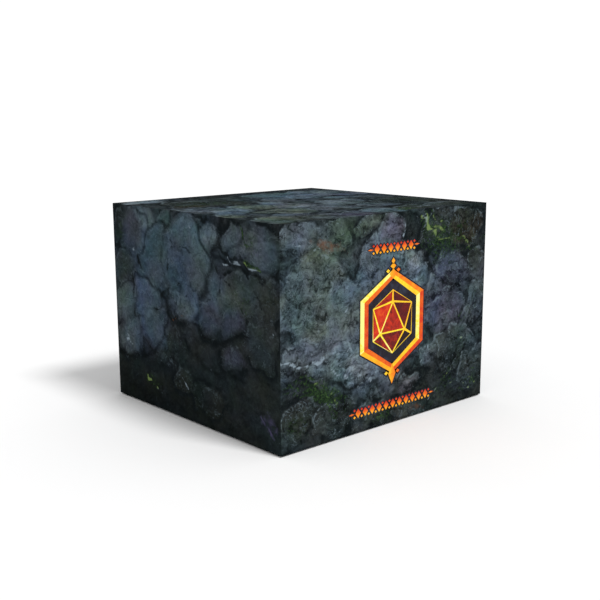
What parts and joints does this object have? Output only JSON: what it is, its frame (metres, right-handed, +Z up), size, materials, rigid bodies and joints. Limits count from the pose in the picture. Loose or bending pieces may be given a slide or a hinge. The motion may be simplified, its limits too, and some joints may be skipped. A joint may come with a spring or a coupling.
{
  "type": "board game box",
  "caption": "Square rigid box with a full-depth lift-off lid, printed all over with mossy stone, holding a bay insert, a lift-out tray, cards, dice, tokens and a rule book.",
  "frame": {"origin": "centre of the closed box's underside, on the surface it stands on", "axes": "+Z up, towards the lid's top; -Y out of the face with the emblem; +X to the right of that face"},
  "size_m": [0.3, 0.285, 0.22],
  "materials": {
    "printed_wrap": "satin",
    "greyboard": "matte",
    "lining_paper": "matte",
    "stay_tape": "matte",
    "insert_board": "matte",
    "playing_cards": "satin",
    "dice_resin": "gloss",
    "token_board": "satin",
    "book_cover": "satin",
    "book_pages": "matte",
    "staple_wire": "bright"
  },
  "bodies": {
    "base": {"base_board": "greyboard", "base_wrap": "printed_wrap", "base_liner": "lining_paper", "base_stay_tape_1": "stay_tape", "base_stay_tape_2": "stay_tape", "base_stay_tape_3": "stay_tape", "base_stay_tape_4": "stay_tape", "bay_row_divider_1": "insert_board", "bay_row_divider_2": "insert_board", "bay_column_divider_1": "insert_board", "bay_column_divider_2": "insert_board", "book_panel": "insert_board"},
    "lid": {"lid_board": "greyboard", "lid_wrap": "printed_wrap", "lid_liner": "lining_paper", "lid_stay_tape_1": "stay_tape", "lid_stay_tape_2": "stay_tape", "lid_stay_tape_3": "stay_tape", "lid_stay_tape_4": "stay_tape"},
    "tray": {"tray_floor": "insert_board", "tray_front_wall": "insert_board", "tray_back_wall": "insert_board", "tray_left_wall": "insert_board", "tray_right_wall": "insert_board", "row_partition": "insert_board", "card_partition_1": "insert_board", "card_partition_2": "insert_board", "token_partition": "insert_board", "token_column_partition": "insert_board", "token_row_partition": "insert_board", "card_deck_1": "playing_cards", "card_deck_2": "playing_cards", "die_1": "dice_resin", "die_2": "dice_resin", "die_3": "dice_resin", "die_4": "dice_resin", "die_5": "dice_resin", "token_stack_1": "token_board", "token_stack_2": "token_board", "token_stack_3": "token_board", "token_stack_4": "token_board"},
    "rulebook": {"rulebook_cover": "book_cover", "rulebook_pages": "book_pages", "rulebook_staples": "staple_wire"}
  },
  "joints": [
    {"name": "lid_lift", "type": "slide", "parent": "base", "child": "lid", "axis": [0, 0, 1], "range_m": [0, 0.32]},
    {"name": "tray_lift", "type": "slide", "parent": "base", "child": "tray", "axis": [0, 0, 1], "range_m": [0, 0.09]},
    {"name": "rulebook_lift", "type": "slide", "parent": "base", "child": "rulebook", "axis": [0, 0, 1], "range_m": [0, 0.208]}
  ],
  "couplings": [
    {"joint": "tray_lift", "follows": "lid_lift", "ratio": 0.28125},
    {"joint": "rulebook_lift", "follows": "lid_lift", "ratio": 0.65}
  ]
}
